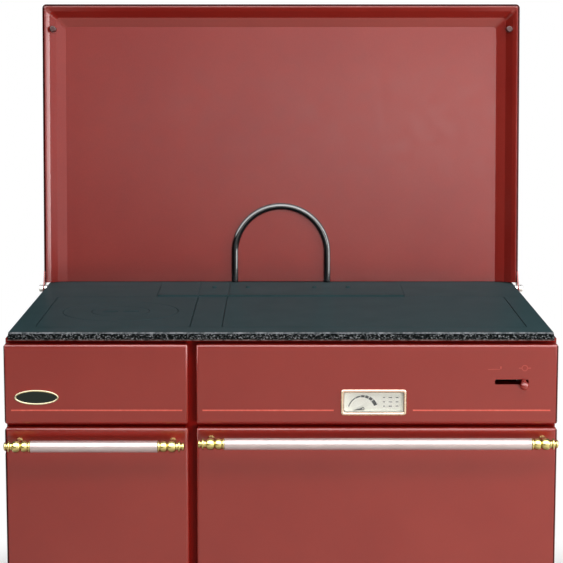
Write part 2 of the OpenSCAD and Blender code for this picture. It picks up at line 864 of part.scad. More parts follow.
module lid_rim() {
    x = body_w / 2 - lid_t;
    top = lid_len - lid_t;
    reach = rim_steep + rim_slope + cut;
    color(red) on_lid() intersection() {
        translate([0, rim_v, 0]) union() {
            for (side = [0, 1]) mirror([side, 0, 0]) intersection() {
                translate([-x, 0, lid_low]) linear_extrude(top - lid_low) rim_section();
                facing(0, -cut, 0, lid_depth + 2 * cut)
                    polygon([[-x, 0], [-x, top], [-x + reach, top - reach], [-x + reach, 0]]);
            }
            intersection() {
                translate([x, 0, top]) rotate([0, -90, 0]) linear_extrude(2 * x)
                    mirror([1, 0]) rim_section();
                facing(0, -cut, 0, lid_depth + 2 * cut)
                    polygon([[-x, top], [x, top], [x - reach, top - reach], [-x + reach, top - reach]]);
            }
        }
        facing(0, rim_v - cut, 0, lid_depth + 2 * cut) difference() {
            lid_outline(lid_t);
            at_buffers() circle(buffer_r + close_gap);
        }
    }
}

module at_buffers() {
    for (side = [-1, 1])
        translate([side * (body_w / 2 - lid_t - rim_steep), lid_len - buffer_drop]) children();
}

module notch_insert() {
    color(red) on_lid() facing(0, panel_v, 0, lid_t) intersection() {
        arch_outline(-0.4);
        translate([-arch_w, lid_low]) square([2 * arch_w, 2 * arch_h]);
    }
}

module notch_trim() {
    color([0.06, 0.06, 0.06]) on_lid() difference() {
        translate([0, panel_v - trim_r / 2, arch_leg]) rotate([90, 0, 0]) {
            rotate_extrude(angle = 180) translate([arch_r, 0]) circle(trim_r);
            for (x = [-arch_r, arch_r])
                translate([x, 0, 0]) rotate([90, 0, 0]) cylinder(arch_leg - lid_low, r = trim_r);
        }
        translate([-body_w / 2, panel_v, 0]) cube([body_w, lid_depth, lid_len]);
    }
}

// Rubber studs that stand on the lid's panel and reach out through holes in its rim
module lid_buffers() {
    h = lid_depth + lid_gap - close_gap;
    color([0.08, 0.08, 0.08]) on_lid() facing(0, panel_v - h, 0, h) at_buffers() circle(buffer_r);
}

module lid_hinge_pins() {
    reach = body_w / 2 + close_gap - hob_x + pin_in;
    spacer = lid_t + 2 * close_gap;
    hob_edge = pin_in + hob_bevel;
    color(steel) for (side = [-1, 1])
        translate([side * (hob_x - pin_in), axis_y, axis_z]) rotate([0, side * 90, 0]) {
            cylinder(reach + cut, r = pin_r);
            translate([0, 0, hob_edge]) cylinder(reach - spacer - hob_edge, r = 2 * pin_r);
            translate([0, 0, reach]) difference() {
                cylinder(pin_head_t, r = pin_head_r);
                translate([0, 0, pin_head_t - 2]) difference() {
                    cylinder(2 + cut, r = pin_head_r + cut);
                    translate([0, 0, -cut]) cylinder(4 + cut, r1 = pin_head_r + cut, r2 = pin_head_r - 3);
                }
            }
        }
}

module lid_stops() {
    back = panel_v + lid_t + close_gap;
    color(iron) for (x = [-1, 1]) intersection() {
        on_lid() translate([x * (hob_x - stop_w) - stop_w / 2, back, -hob_t])
            cube([stop_w, stop_t, stop_h + 2 * hob_t]);
        block([-body_w, front_y, hob_h], [body_w, back_y, hob_h + stop_h]);
    }
}

// Door hinges. Local frame: pin along z, x into the door, y to the back

module hinge_arm() {
    foot = frame_set - hinge_in;
    translate([0, 0, -hinge_t / 2]) linear_extrude(hinge_t) {
        circle(hinge_r);
        translate([-hinge_r, 0]) square([2 * hinge_r, foot]);
    }
    translate([-hinge_r, foot - hinge_foot_t, -hinge_t]) cube([2 * hinge_r, hinge_foot_t, 2 * hinge_t]);
    cylinder(hinge_t + 2 * (hinge_lug + hinge_play), r = hinge_pin_r, center = true);
}

module hinge_lugs() {
    size = hinge_in - skin_t;
    for (side = [0, 1]) mirror([0, 0, side])
        translate([0, 0, hinge_t / 2 + hinge_play]) linear_extrude(hinge_lug) difference() {
            translate([-size, -size]) square([size + 8, size + 8]);
            circle(hinge_pin_r + pin_play);
        }
}

// Way for the fixed arm through the door skin as the door turns
module hinge_slot() {
    size = hinge_in - skin_t;
    translate([-hinge_in - cut, -size + 0.3, -hinge_t / 2 - hinge_play])
        cube([hinge_in, door_t, hinge_t + 2 * hinge_play]);
}

module at_fire_hinges() {
    for (z = [door_z + hinge_end, door_top - hinge_end])
        translate([fire_axis_x, axis_depth, z]) children();
}

module at_oven_hinges() {
    for (x = [oven_x - oven_panel_w / 2 + hinge_end, oven_x + oven_panel_w / 2 - hinge_end])
        translate([x, axis_depth, oven_axis_z]) rotate([0, -90, 0]) children();
}

module door_hinge_arms() {
    color(steel) {
        at_fire_hinges() hinge_arm();
        at_oven_hinges() hinge_arm();
    }
}

// Doors

module door_liner(x, w) {
    low = hinge_in + 14;
    side = skin_t + 16;
    facing(x, front_y + door_t - liner_t, door_z + low + (door_h - low - side) / 2, liner_t)
        rounded(w - 2 * side, door_h - low - side, 12);
}

module door_seal(x, w) {
    t = frame_set - door_t - close_gap;
    grow = 2 * (seal_in + seal_w);
    facing(x, front_y + door_t, open_z + open_h / 2, t) difference() {
        rounded(w + grow, open_h + grow, seal_r + seal_w);
        rounded(w + 2 * seal_in, open_h + 2 * seal_in, seal_r);
    }
}

// Ball of radius r about a place on the z axis, turned flat at both ends
module turned_ball(z, r, half) {
    translate([0, 0, z]) intersection() {
        sphere(r);
        cylinder(2 * half, r = r + cut, center = true);
    }
}

// End piece of a rail, along +x from the tube's end: ring, bulb, ball, ring, neck and finial
module rail_end() {
    r = rail_d / 2;
    color(brass) {
        rotate([0, 90, 0]) {
            cylinder(boss_at, r = 0.6 * r);
            translate([0, 0, 1]) cylinder(3, r = r + 0.5);
            turned_ball(boss_at - 1.4 * r, r, 0.55 * r);
            turned_ball(boss_at, boss_r, 0.65 * boss_r);
            translate([0, 0, boss_at]) cylinder(1.1 * r, r = 0.65 * r);
            translate([0, 0, boss_at + 1.1 * r]) cylinder(0.35 * r, r = r);
            translate([0, 0, boss_at]) cylinder(1.8 * r, r = 0.5 * r);
            turned_ball(boss_at + 1.8 * r, 0.75 * r, 0.45 * r);
        }
        translate([boss_at, 0, 0]) {
            rotate([-90, 0, 0]) cylinder(rail_stand, r = post_r);
            translate([0, rail_stand, 0]) rotate([90, 0, 0]) cylinder(3, r = 1.5 * post_r);
        }
    }
}

function rail_len(w) = w - 2 * (rail_end_len + rail_in);

module rail_tube(x, w, z) {
    color(steel) translate([x - rail_len(w) / 2, front_y - rail_stand, z]) rotate([0, 90, 0])
        difference() {
            cylinder(rail_len(w), r = rail_d / 2);
            translate([0, 0, -cut]) cylinder(rail_len(w) + 2 * cut, r = rail_d / 2 - 1.5);
        }
}

module rail_ends(x, w, z) {
    for (side = [0, 1])
        translate([x, front_y - rail_stand, z]) mirror([side, 0, 0])
            translate([rail_len(w) / 2, 0, 0]) rail_end();
}

module fire_door_skin() {
    color(red) {
        difference() {
            pressed_panel(fire_x, door_z, fire_w, door_h, door_t);
            at_fire_hinges() hinge_slot();
        }
        at_fire_hinges() hinge_lugs();
    }
}

module fire_door_liner() {
    color(iron) door_liner(fire_x, fire_w);
}

module fire_door_seal() {
    color([0.3, 0.3, 0.29]) door_seal(fire_x, fire_open_w);
}

module fire_rail_tube() {
    rail_tube(fire_x, fire_w, door_top - fire_rail_drop);
}

module fire_rail_ends() {
    rail_ends(fire_x, fire_w, door_top - fire_rail_drop);
}

module oven_door_skin() {
    color(red) {
        difference() {
            pressed_panel(oven_x, door_z, oven_panel_w, door_h, door_t);
            at_oven_hinges() hinge_slot();
        }
        at_oven_hinges() hinge_lugs();
    }
}

module oven_door_liner() {
    color(iron) door_liner(oven_x, oven_panel_w);
}

module oven_door_seal() {
    color([0.3, 0.3, 0.29]) door_seal(oven_x, oven_w);
}

module oven_rail_tube() {
    rail_tube(oven_x, oven_panel_w, door_top - oven_rail_drop);
}

module oven_rail_ends() {
    rail_ends(oven_x, oven_panel_w, door_top - oven_rail_drop);
}

// Drawers

// Turned knob facing -Y, its stem starting at depth y and its collar c in front of that
module knob(x, y, z, c) {
    color(brass) translate([x, y, z]) rotate([90, 0, 0]) {
        cylinder(c + knob_reach, r = knob_stem_r);
        translate([0, 0, c]) cylinder(0.6 * knob_stem_r, r = 0.7 * knob_r);
        translate([0, 0, c + knob_reach]) sphere(knob_r);
    }
}

module spinner_holes() {
    for (i = [0:4])
        rotate(i * 72) translate([0.63 * spinner_r, 0]) circle(0.17 * spinner_r);
}

module ash_drawer_front() {
    t = frame_set - close_gap;
    color(red) difference() {
        pressed_panel(fire_x, drawer_z, fire_w, drawer_h, t);
        facing(fire_x, front_y - cut, drawer_z + drawer_h / 2, skin_t + 2 * cut) {
            spinner_holes();
            circle(knob_stem_r);
        }
    }
}

module ash_pan() {
    color(steel) tray(fire_x, frame_y - close_gap, pan_z, fire_open_w - 2 * pan_gap, ash_pan_d, pan_h);
}

module air_spinner() {
    color(brass) facing(fire_x, front_y - spinner_t - close_gap, drawer_z + drawer_h / 2, spinner_t)
        difference() {
            circle(spinner_r);
            spinner_holes();
            circle(knob_stem_r + pin_play);
        }
}

module ash_knob() {
    knob(fire_x, front_y + skin_t, drawer_z + drawer_h / 2, skin_t + spinner_t + 2 * close_gap);
}

module drawer_front() {
    t = frame_set - close_gap;
    color(red) pressed_panel(oven_x, drawer_z, oven_panel_w, drawer_h, t);
}

module drawer_box() {
    color(steel) tray(oven_x, frame_y - close_gap, pan_z, oven_w - 2 * pan_gap, drawer_box_d, pan_h);
}

module drawer_knobs() {
    for (x = [oven_x - oven_panel_w / 4, oven_x + oven_panel_w / 4])
        knob(x, front_y, drawer_z + drawer_h / 2, 0);
}

plinth();
base_plate();
side_panels();
back_panel();
front_frame();
centre_wall();
hob_frame();
left_hotplate();
hob_ring();
hob_disc();
centre_bar();
right_hotplate();
flue_cover();
flue_box();
flue_collar();
fascia_left();
fascia_right();
badge();
thermometer_bezel();
thermometer_dial();
thermometer_glass();
thermometer_needle();
oven_floor();
oven_sides();
oven_top();
oven_back();
carrier_rails();
shelf_runners();
oven_rack();
firebricks();
grate_frame();
fire_grate();
damper_frame();
damper_plate();
damper_knob();
lid_panel();
lid_rim();
notch_insert();
notch_trim();
lid_buffers();
lid_hinge_pins();
lid_stops();
door_hinge_arms();
fire_door_skin();
fire_door_liner();
fire_door_seal();
fire_rail_tube();
fire_rail_ends();
oven_door_skin();
oven_door_liner();
oven_door_seal();
oven_rail_tube();
oven_rail_ends();
ash_drawer_front();
ash_pan();
air_spinner();
ash_knob();
drawer_front();
drawer_box();
drawer_knobs();
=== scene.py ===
# %% [markdown]
# # A red enamelled range cooker
# This notebook dresses the imported CAD model of a solid-fuel range cooker. The CAD gives every size, place and
# hinge. Here each surface gets the finish of the real one, and the small turned, pressed and painted pieces
# are modelled in mesh code. First the frame is loaded.

# %% Load the frame
import json
from math import cos, pi, radians, sin

import bmesh
import bpy
from mathutils import Matrix, Vector


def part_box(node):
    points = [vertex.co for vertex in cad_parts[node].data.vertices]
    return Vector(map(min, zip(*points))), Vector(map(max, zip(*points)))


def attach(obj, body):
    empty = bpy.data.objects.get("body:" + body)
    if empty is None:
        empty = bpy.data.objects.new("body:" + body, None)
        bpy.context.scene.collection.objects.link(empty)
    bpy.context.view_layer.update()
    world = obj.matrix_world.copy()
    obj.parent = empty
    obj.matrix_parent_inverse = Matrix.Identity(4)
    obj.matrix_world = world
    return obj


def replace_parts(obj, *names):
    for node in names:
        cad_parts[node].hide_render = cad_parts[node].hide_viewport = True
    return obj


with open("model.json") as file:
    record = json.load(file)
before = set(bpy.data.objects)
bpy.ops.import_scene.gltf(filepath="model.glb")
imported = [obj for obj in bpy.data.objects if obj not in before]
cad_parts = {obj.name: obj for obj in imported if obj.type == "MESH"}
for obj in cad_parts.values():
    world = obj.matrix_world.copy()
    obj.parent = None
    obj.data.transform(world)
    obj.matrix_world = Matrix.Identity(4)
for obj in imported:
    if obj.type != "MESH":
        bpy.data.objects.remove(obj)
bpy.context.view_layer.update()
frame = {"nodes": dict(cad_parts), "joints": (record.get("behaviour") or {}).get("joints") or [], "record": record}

MM = 0.001
record = frame["record"]

# %% [markdown]
# ## The camera
# The photograph was taken from in front, a little above the lid, with a long lens. Its view was found by
# matching the corners of the hob, the doors and the lid. The camera tilts down by 7.2 degrees, and a small
# shift puts the doors' cut-off halves at the lower edge, as in the photograph.

# %% Camera
camera = bpy.data.objects.new("camera", bpy.data.cameras.new("camera"))
bpy.context.collection.objects.link(camera)
camera.data.lens = 115.44
camera.data.shift_y = -0.08
camera.location = (0.0011, -3.8636, 1.4860)
camera.rotation_euler = (radians(90 - 7.222), 0, 0)
bpy.context.scene.camera = camera
print("camera lens:", camera.data.lens)

# %% [markdown]
# ## Nodes in a material
# Each finish is a Principled shader with a few textures. Short helpers keep the cells short: `add` makes a node
# and sets its sockets, `join` links two sockets, `span` turns one range of numbers into another, and `place`
# gives the Object coordinates, stretched where a grain runs along the piece. Object coordinates are the piece's
# own place in metres, so a scale of 100 gives features of about 10 mm. `noise` and `ramp` add a texture and
# its colours. The floor and the world use the same helpers later.

# %% Node helpers
def add(mat, kind, **values):
    made = mat.node_tree.nodes.new("ShaderNode" + kind)
    for key, value in values.items():
        if key in made.inputs:
            made.inputs[key].default_value = value
        else:
            setattr(made, key, value)
    return made


def join(mat, out, into):
    mat.node_tree.links.new(out, into)


def span(mat, value, start, end, low=0.0, high=1.0, kind="LINEAR"):
    """A level that runs from low to high while the value runs from start to end."""
    made = add(mat, "MapRange", interpolation_type=kind)
    for socket, number in (("From Min", start), ("From Max", end), ("To Min", low), ("To Max", high)):
        made.inputs[socket].default_value = number
    join(mat, value, made.inputs["Value"])
    return made.outputs["Result"]


def place(mat, stretch=(1, 1, 1)):
    coords = add(mat, "TexCoord")
    mapping = add(mat, "Mapping", Scale=stretch)
    join(mat, coords.outputs["Object"], mapping.inputs["Vector"])
    return mapping.outputs["Vector"]


def noise(mat, where, scale, detail=2.0, rough=0.5):
    made = add(mat, "TexNoise", Scale=scale, Detail=detail, Roughness=rough)
    join(mat, where, made.inputs["Vector"])
    return made.outputs["Fac"]


def ramp(mat, fac, stops):
    made = add(mat, "ValToRGB")
    band = made.color_ramp
    while len(band.elements) < len(stops):
        band.elements.new(0.5)
    for element, (spot, colour) in zip(band.elements, stops):
        element.position = spot
        element.color = (*colour, 1)
    join(mat, fac, made.inputs["Fac"])
    return made.outputs["Color"]


print("node helpers ready")

# %% [markdown]
# ## A finish
# `finish` starts a material with the constants set on the shader itself, so that an export keeps them.
# `relief` adds a bump from a height, with its depth in metres, and can be called again to lay a finer relief
# on a coarse one.

# %% Finish helpers
def finish(name, colour, rough, metal=0.0, **sockets):
    mat = bpy.data.materials.new(name)
    mat.use_nodes = True
    shader = mat.node_tree.nodes["Principled BSDF"]
    shader.inputs["Base Color"].default_value = (*colour, 1)
    shader.inputs["Roughness"].default_value = rough
    shader.inputs["Metallic"].default_value = metal
    for key, value in sockets.items():
        shader.inputs[key.replace("_", " ")].default_value = value
    return mat


def shader_of(mat):
    return mat.node_tree.nodes["Principled BSDF"]


def relief(mat, height, depth, strength=1.0):
    normal = shader_of(mat).inputs["Normal"]
    bump = add(mat, "Bump", Strength=strength, Distance=depth)
    join(mat, height, bump.inputs["Height"])
    if normal.is_linked:
        join(mat, normal.links[0].from_socket, bump.inputs["Normal"])
    join(mat, bump.outputs["Normal"], normal)


print("finish helpers ready")

# %% [markdown]
# ## Red enamel
# The body is sheet steel under fired vitreous enamel. Such enamel is glossy, but it isn't flat like a window:
# it has a soft orange-peel waviness about a centimetre across, and the ground red is speckled very finely.
# The waviness is a low bump, the speckle a small change of colour, and the gloss comes from the shader.

# %% Red enamel
def red_enamel(name, deep, pale, shine=0.3):
    mat = finish(name, deep, 0.22, Specular_IOR_Level=shine)
    where = place(mat)
    cloud = noise(mat, where, 5, 3)
    speck = noise(mat, where, 600, 2, 0.7)
    mix = add(mat, "Mix", data_type="RGBA", blend_type="OVERLAY")
    mix.inputs["Factor"].default_value = 0.16
    join(mat, ramp(mat, cloud, [(0.3, deep), (0.7, pale)]), mix.inputs["A"])
    join(mat, ramp(mat, speck, [(0.35, (0.3,) * 3), (0.65, (0.7,) * 3)]), mix.inputs["B"])
    join(mat, mix.outputs["Result"], shader_of(mat).inputs["Base Color"])
    join(mat, span(mat, noise(mat, where, 40, 2), 0, 1, 0.19, 0.27), shader_of(mat).inputs["Roughness"])
    relief(mat, noise(mat, where, 60, 2), 0.00030, 0.30)
    relief(mat, speck, 0.00003, 0.25)
    return mat


body_red = red_enamel("body_red", (0.240, 0.014, 0.009), (0.264, 0.019, 0.012), 0.5)
# frame_red has less gloss and a deeper, more saturated red than the body; the frame shows only in the gaps between
# panels, and that deeper red paints their shade.
frame_red = red_enamel("frame_red", (0.230, 0.005, 0.003), (0.250, 0.007, 0.004), 0.05)
# A near-black red that paints the shade on outer edges which turn away from the light.
painted_edge_shade = red_enamel("painted_edge_shade", (0.050, 0.002, 0.002), (0.070, 0.003, 0.003), 0.05)
print("made", body_red.name, frame_red.name, painted_edge_shade.name)

# %% [markdown]
# ## Hob enamel and cast iron
# The hob is cast iron under a dark blue-grey enamel. A casting shows the sand it was poured in: a fine
# pebbled skin with small pits. A Voronoi texture makes the pebbles and noise breaks them up. A very low
# specular level keeps the red lid's mirror image as weak as it is in the photograph. Bare iron inside uses the
# same skin in a matt black. The hob's front edge is left rough from the mould, so there its colour is broken up
# into dark and light grains of a few millimetres; the lightest grains are partly painted glints. Along the top
# runs a light line that is a painted highlight, and along the bottom a reddish line that is a painted reflection
# of the red fascia.

# %% Cast iron
def cast_iron(name, dark, light, rough, shine, grain=1.0):
    mat = finish(name, dark, rough, Specular_IOR_Level=shine)
    where = place(mat)
    pebble = add(mat, "TexVoronoi", Scale=260.0)
    join(mat, where, pebble.inputs["Vector"])
    sand = noise(mat, where, 420, 3, 0.65)
    patch = noise(mat, where, 14, 3)
    join(mat, ramp(mat, patch, [(0.3, dark), (0.7, light)]), shader_of(mat).inputs["Base Color"])
    join(mat, span(mat, sand, 0, 1, rough - 0.08, rough + 0.10), shader_of(mat).inputs["Roughness"])
    relief(mat, pebble.outputs["Distance"], 0.0005 * grain, 0.25)
    relief(mat, sand, 0.0003 * grain, 0.35)
    return mat


def edge_grain_and_sheen(mat, edge_y, low_z, high_z):
    """Grains in front of edge_y (metres), partly painted glints, with a painted red reflection above low_z and a
    painted highlight below high_z.
    """
    base = shader_of(mat).inputs["Base Color"]
    split = add(mat, "SeparateXYZ")
    join(mat, place(mat), split.inputs["Vector"])
    grains = noise(mat, place(mat, (1.0, 1.0, 1.5)), 230, 2, 0.75)
    mottle = noise(mat, place(mat), 90, 3, 0.7)
    # The lightest grain colour partly paints glints; the next list paints a highlight line along the top, and the
    # one after it a reflection of the red fascia along the bottom.
    dark = [(0.46, (0.004, 0.005, 0.005)), (0.57, (0.028, 0.032, 0.034)), (0.66, (0.26, 0.27, 0.28))]
    light = [(0.40, (0.080, 0.095, 0.100)), (0.62, (0.32, 0.34, 0.36))]
    red_reflection = [(0.38, (0.035, 0.022, 0.020)), (0.60, (0.20, 0.12, 0.11))]
    skin = ramp(mat, grains, dark)
    blur = 0.4 * MM
    for axis, start, soft, stops in (("Z", high_z - 2.8 * MM, blur, light), ("Z", low_z + 2.6 * MM, -blur, red_reflection),
                                     ("Y", edge_y, -blur, None)):
        part = span(mat, split.outputs[axis], start - soft, start + soft)
        mix = add(mat, "Mix", data_type="RGBA")
        join(mat, part, mix.inputs["Factor"])
        join(mat, skin if stops else base.links[0].from_socket, mix.inputs["A"])
        join(mat, ramp(mat, mottle, stops) if stops else skin, mix.inputs["B"])
        skin = mix.outputs["Result"]
    join(mat, skin, base)


HOB_EDGE_DEEP = 4.2
hob_enamel = cast_iron("hob_enamel", (0.049, 0.102, 0.112), (0.057, 0.113, 0.125), 0.30, 0.002, 0.5)
hob_low, hob_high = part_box("hob_frame")
# The hob's front edge gets grain with painted glints, a painted highlight at the top and a painted red reflection
# at the bottom.
edge_grain_and_sheen(hob_enamel, hob_low[1] + HOB_EDGE_DEEP * MM, hob_low[2], hob_high[2])
dark_iron = cast_iron("dark_iron", (0.035, 0.035, 0.036), (0.055, 0.053, 0.051), 0.62, 0.3)
print("made", hob_enamel.name, dark_iron.name)

# %% [markdown]
# ## Metals
# Polished brass is yellow with a slightly uneven polish. The rails are pale steel tube with a brushed grain
# that is stretched along X, and they mirror less than polished metal. The pink tint in the rails' colour is a
# painted reflection of the red doors below them. Sheet steel inside is duller and carries a rolling grain. The
# thermometer's bezel and the badge's rim are paler and darker sorts of the brass.

# %% Metals
def metal(name, colour, rough, stretch, scale, swing=0.06, depth=0.00003):
    mat = finish(name, colour, rough, 1.0)
    where = place(mat, stretch)
    grain = noise(mat, where, scale, 3, 0.6)
    tint = [(0.3, tuple(c * 0.93 for c in colour)), (0.7, colour)]
    join(mat, ramp(mat, noise(mat, place(mat), 25, 2), tint), shader_of(mat).inputs["Base Color"])
    join(mat, span(mat, grain, 0, 1, rough - swing, rough + swing), shader_of(mat).inputs["Roughness"])
    relief(mat, grain, depth, 0.4)
    return mat


brass = metal("brass", (0.46, 0.38, 0.15), 0.22, (1, 1, 1), 300)
# The rail's pink tint is a painted reflection of the red doors.
rail_steel = metal("rail_steel", (0.51, 0.42, 0.41), 0.34, (1, 14, 14), 120, 0.04)
shader_of(rail_steel).inputs["Metallic"].default_value = 0.4
sheet_steel = metal("sheet_steel", (0.62, 0.62, 0.61), 0.38, (1, 12, 12), 90)
bezel_brass = metal("bezel_brass", (0.58, 0.45, 0.35), 0.26, (1, 1, 1), 300)
badge_metal = metal("badge_metal", (0.46, 0.41, 0.28), 0.22, (1, 1, 1), 300)
print("made", brass.name, bezel_brass.name, rail_steel.name, sheet_steel.name, badge_metal.name)

# %% [markdown]
# ## Small finishes
# The notch trim is gloss black enamel, the buffers are rubber, the needle is satin black, the dial is cream
# enamel under glass, the bricks are pitted fireclay and the seals are a twisted glass-fibre rope. The glass is
# a clear coat with a low alpha, because refracting glass would put the dial in shadow.

# %% Small finishes
black_enamel = finish("black_enamel", (0.006, 0.006, 0.007), 0.12, Coat_Weight=0.5, Coat_Roughness=0.05)
relief(black_enamel, noise(black_enamel, place(black_enamel), 90, 2), 0.0003, 0.25)

rubber = finish("rubber", (0.050, 0.010, 0.010), 0.30, Specular_IOR_Level=0.5)
relief(rubber, noise(rubber, place(rubber), 900, 2), 0.0001, 0.5)

needle_black = finish("needle_black", (0.015, 0.015, 0.016), 0.35)
relief(needle_black, noise(needle_black, place(needle_black), 700, 2), 0.00003, 0.3)

dial_cream = finish("dial_cream", (0.86, 0.83, 0.72), 0.30)
cream = [(0.3, (0.88, 0.87, 0.78)), (0.7, (0.93, 0.92, 0.84))]
join(dial_cream, ramp(dial_cream, noise(dial_cream, place(dial_cream), 60, 3), cream),
     shader_of(dial_cream).inputs["Base Color"])
relief(dial_cream, noise(dial_cream, place(dial_cream), 500, 2), 0.00004, 0.3)

clear_glass = finish("clear_glass", (0.35, 0.38, 0.38), 0.04, Alpha=0.10)
relief(clear_glass, noise(clear_glass, place(clear_glass), 30, 1), 0.0001, 0.1)

firebrick = finish("firebrick", (0.55, 0.40, 0.26), 0.9)
clay = noise(firebrick, place(firebrick), 70, 5, 0.7)
clay_colours = [(0.3, (0.36, 0.25, 0.16)), (0.55, (0.56, 0.42, 0.28)), (0.8, (0.70, 0.58, 0.42))]
join(firebrick, ramp(firebrick, clay, clay_colours), shader_of(firebrick).inputs["Base Color"])
relief(firebrick, clay, 0.002, 0.5)

rope_seal = finish("rope_seal", (0.20, 0.20, 0.19), 0.95)
twist = add(rope_seal, "TexWave", Scale=90.0, Distortion=3.0, Detail=2.0, bands_direction="DIAGONAL")
join(rope_seal, place(rope_seal), twist.inputs["Vector"])
join(rope_seal, ramp(rope_seal, twist.outputs["Fac"], [(0.0, (0.10, 0.10, 0.095)), (1.0, (0.27, 0.27, 0.255))]),
     shader_of(rope_seal).inputs["Base Color"])
relief(rope_seal, twist.outputs["Fac"], 0.0015, 0.7)
print("made the small finishes")

# %% [markdown]
# ## Dress the CAD nodes
# Each node of the CAD names a material slot in the record, and each slot has one finish here.

# %% Dress the CAD nodes
FINISHES = {
    "red_enamel": body_red, "hob_iron": hob_enamel, "dark_iron": dark_iron, "black_enamel": black_enamel,
    "rubber": rubber, "needle_black": needle_black, "steel": sheet_steel, "rail_steel": rail_steel,
    "brass": brass, "badge_metal": badge_metal, "dial_cream": dial_cream, "clear_glass": clear_glass,
    "firebrick": firebrick, "rope_seal": rope_seal,
}
slot_of = {part["node"]: part["material_slot"] for part in record["subparts"]}
body_of = {node: body for body, nodes in record["behaviour"]["bodies"].items() for node in nodes}
for node, made in frame["nodes"].items():
    for material_slot in made.material_slots:
        # The front frame takes frame_red, whose deeper red paints the shade in the gaps.
        material_slot.material = frame_red if node == "front_frame" else FINISHES[slot_of[node]]
print("dressed", len(slot_of), "nodes")

# %% [markdown]
# ## New pieces
# `piece` turns a finished bmesh into an object that rides on a body of the CAD and takes its slot's finish.
# Faces are turned outwards, and only edges sharper than the given angle stay sharp in the shading. `corner`
# reads where a node lies, in millimetres, so every new piece takes its place from the CAD.

# %% Piece helpers
def piece(name, bm, body, slot, finish=None, sharp=35):
    bmesh.ops.recalc_face_normals(bm, faces=bm.faces)
    mesh = bpy.data.meshes.new(name)
    bm.to_mesh(mesh)
    bm.free()
    mesh.shade_smooth()
    mesh.set_sharp_from_angle(angle=radians(sharp))
    mesh.materials.append(finish or FINISHES[slot])
    made = bpy.data.objects.new(name, mesh)
    bpy.context.collection.objects.link(made)
    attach(made, body)
    return made


def corners(node):
    return [Vector(corner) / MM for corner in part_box(node)]


def block(bm, low, high):
    """A box between two corners in mm."""
    low, high = Vector(low) * MM, Vector(high) * MM
    where = Matrix.Translation((low + high) / 2) @ Matrix.Diagonal((high - low).to_4d())
    return bmesh.ops.create_cube(bm, size=1, matrix=where)["verts"]


def sharp_edges(bm, angle):
    return [e for e in bm.edges if len(e.link_faces) == 2 and e.calc_face_angle() > radians(angle)]


def round_edges(bm, edges, width, segments=3):
    bmesh.ops.bevel(bm, geom=edges, offset=width, offset_type="OFFSET", affect="EDGES", segments=segments,
                    profile=0.5, material=-1, clamp_overlap=False)


print("piece helpers ready")

# %% [markdown]
# ## Soft edges
# No real casting or enamelled sheet has a knife edge: a small radius catches the light and makes the piece
# read as metal. `soften` takes a copy of a CAD node, joins its loose triangles, clears the flat faces of extra
# edges and bevels what is sharp. The copy stands for the node, which stays as it is for the collision.
# Castings get larger radii than sheets.

# %% Soften
def merged(node, bm=None):
    bm = bm or bmesh.new()
    bm.from_mesh(frame["nodes"][node].data)
    bmesh.ops.remove_doubles(bm, verts=bm.verts, dist=1e-5)
    bmesh.ops.dissolve_limit(bm, angle_limit=radians(0.5), verts=bm.verts, edges=bm.edges)
    return bm


def paint_edge_shade(made, test):
    """Give the faces whose middle passes the test a near-black red: painted shade for edges that turn away from the
    light.
    """
    made.data.materials.append(painted_edge_shade)
    for face in made.data.polygons:
        if test(face.center):
            face.material_index = 1


def flatten(made):
    """Keep the shading of large flat faces flat right up to the small faces of their edges."""
    modifier = made.modifiers.new("flat_faces", "WEIGHTED_NORMAL")
    modifier.keep_sharp = True
    modifier.weight = 50


def soften(node, width, segments=3, angle=40, finish=None):
    bm = merged(node)
    if width:
        round_edges(bm, sharp_edges(bm, angle), width * MM, segments)
    made = piece(node + "_soft", bm, body_of[node], slot_of[node], finish)
    flatten(made)
    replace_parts(made, node)
    return made


def outer_edge(middle):
    return abs(middle.x) > 0.5462 and middle.y < -0.344


EDGE_RADIUS = {
    "hob_frame": 1.2, "left_hotplate": 0.9, "right_hotplate": 0.9, "centre_bar": 0.9, "hob_ring": 0.7,
    "hob_disc": 0.6, "flue_cover": 0.9, "plinth": 1.0, "base_plate": 1.0, "side_panels": 0.8, "back_panel": 0.8,
    "flue_collar": 1.2, "lid_stops": 1.5, "lid_hinge_pins": 0.6, "firebricks": 2.0,
    "grate_frame": 1.0, "fire_grate": 1.0, "fire_door_liner": 1.0, "oven_door_liner": 1.0,
    "fire_door_seal": 2.4, "oven_door_seal": 2.4, "shelf_runners": 0.8, "ash_pan": 0.5, "drawer_box": 0.5,
    "air_spinner": 0.8, "lid_buffers": 2.0, "oven_floor": 0.8, "oven_top": 0.8,
    "fascia_left": 0.0, "ash_drawer_front": 0.0, "drawer_front": 0.0, "notch_trim": 0.0, "notch_insert": 0.6,
}
for node, width in EDGE_RADIUS.items():
    made = soften(node, width)
    # The outer side edges of these panels get painted shade.
    if node in ("fascia_left", "ash_drawer_front", "drawer_front"):
        paint_edge_shade(made, outer_edge)
    print("softened", node, len(made.data.polygons))

# %% [markdown]
# ## The lid's section
# The lid is one pressed sheet. Its outer skin turns over a rounded lip, and from there the rim falls by a narrow
# slope, a steep band and a shallow band to the flat panel. The lid leans back a little when it is open, so the
# rim is built upright about the hinge and turned into place at the end. `to_lid` takes a place in the scene to
# that upright lid. The section is a list of points, each a distance in from the lid's outline and a depth below
# the lip.

